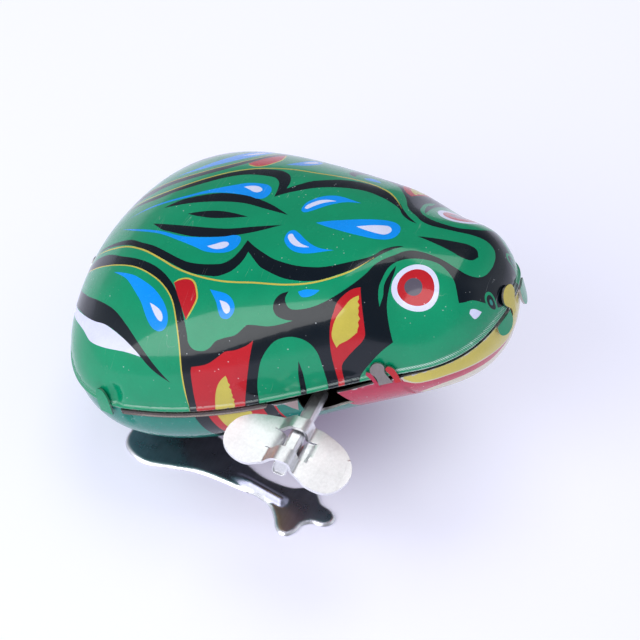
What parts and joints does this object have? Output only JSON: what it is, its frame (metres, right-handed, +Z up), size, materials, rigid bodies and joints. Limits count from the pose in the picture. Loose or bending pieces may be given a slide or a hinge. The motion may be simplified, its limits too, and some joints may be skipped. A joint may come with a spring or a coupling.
{
  "type": "wind-up jumping frog",
  "caption": "Printed tin frog that jumps: a side key winds a spring motor, and a snail cam folds two flat riveted legs and lets them snap down.",
  "frame": {"origin": "on the ground, below the middle of the toy's overall box", "axes": "+X towards the nose, +Y to the frog's left side, +Z up; the frog's plane of symmetry is at Y = +3.45 mm"},
  "size_m": [0.0732, 0.0644, 0.0456],
  "materials": {
    "back_paint": "gloss lithographed tin, green with blue-black bands and blue and white drops",
    "belly_paint": "gloss lithographed tin, red, green, black and yellow",
    "key_tin": "bright tinplate, lightly tarnished",
    "leg_tin": "bright tinplate, lightly tarnished",
    "frame_tin": "bright tinplate",
    "steel": "turned mild steel",
    "spring_steel": "blued spring steel",
    "brass": "stamped brass"
  },
  "bodies": {
    "body": {"back_shell": "back_paint", "belly_shell": "belly_paint", "left_plate": "frame_tin", "right_plate": "frame_tin", "pillar_nose": "steel", "pillar_spring": "steel", "pillar_top": "steel", "pillar_tail": "steel", "foot_bar_front": "frame_tin", "foot_bar_rear": "frame_tin", "foot_rivet_front": "steel", "foot_rivet_rear": "steel", "leg_axle": "steel", "mainspring": "spring_steel", "leg_spring": "spring_steel"},
    "winder": {"winding_arbor": "steel", "ratchet_wheel": "steel", "key_stem": "key_tin", "key_plate": "key_tin"},
    "main_gear": {"main_wheel": "brass", "click_post": "steel", "click_spring": "spring_steel"},
    "click": {"click": "steel"},
    "second_gear": {"second_arbor": "steel", "second_wheel": "brass"},
    "cam_shaft": {"cam_arbor": "steel", "cam": "steel"},
    "legs": {"leg_yoke": "frame_tin", "left_leg": "leg_tin", "right_leg": "leg_tin", "left_leg_rivet_1": "steel", "left_leg_rivet_2": "steel", "right_leg_rivet_1": "steel", "right_leg_rivet_2": "steel"}
  },
  "joints": [
    {"name": "key_wind", "type": "hinge", "parent": "body", "child": "winder", "pos_m": [0.01041, 0.00345, 0.02304], "axis": [0, 1, 0], "continuous": true},
    {"name": "main_wheel_turn", "type": "hinge", "parent": "body", "child": "main_gear", "pos_m": [0.01041, 0.00345, 0.02304], "axis": [0, 1, 0], "continuous": true},
    {"name": "second_wheel_turn", "type": "hinge", "parent": "body", "child": "second_gear", "pos_m": [0.00028, 0.00345, 0.02182], "axis": [0, 1, 0], "continuous": true},
    {"name": "cam_turn", "type": "hinge", "parent": "body", "child": "cam_shaft", "pos_m": [-0.0079, 0.00345, 0.01886], "axis": [0, 1, 0], "continuous": true},
    {"name": "click_rock", "type": "hinge", "parent": "main_gear", "child": "click", "pos_m": [0.00691, 0.00345, 0.02742], "axis": [0, -1, 0], "range_deg": [0, 6], "stiffness_Nm_per_rad": 0.00002, "springref_deg": -20.05},
    {"name": "leg_kick", "type": "hinge", "parent": "body", "child": "legs", "pos_m": [-0.01699, 0.00345, 0.00897], "axis": [0, -1, 0], "range_deg": [0, 18], "stiffness_Nm_per_rad": 0.1, "springref_deg": -22.92}
  ],
  "couplings": [
    {"joint": "second_wheel_turn", "follows": "main_wheel_turn", "ratio": -3},
    {"joint": "cam_turn", "follows": "main_wheel_turn", "ratio": 7.2}
  ]
}
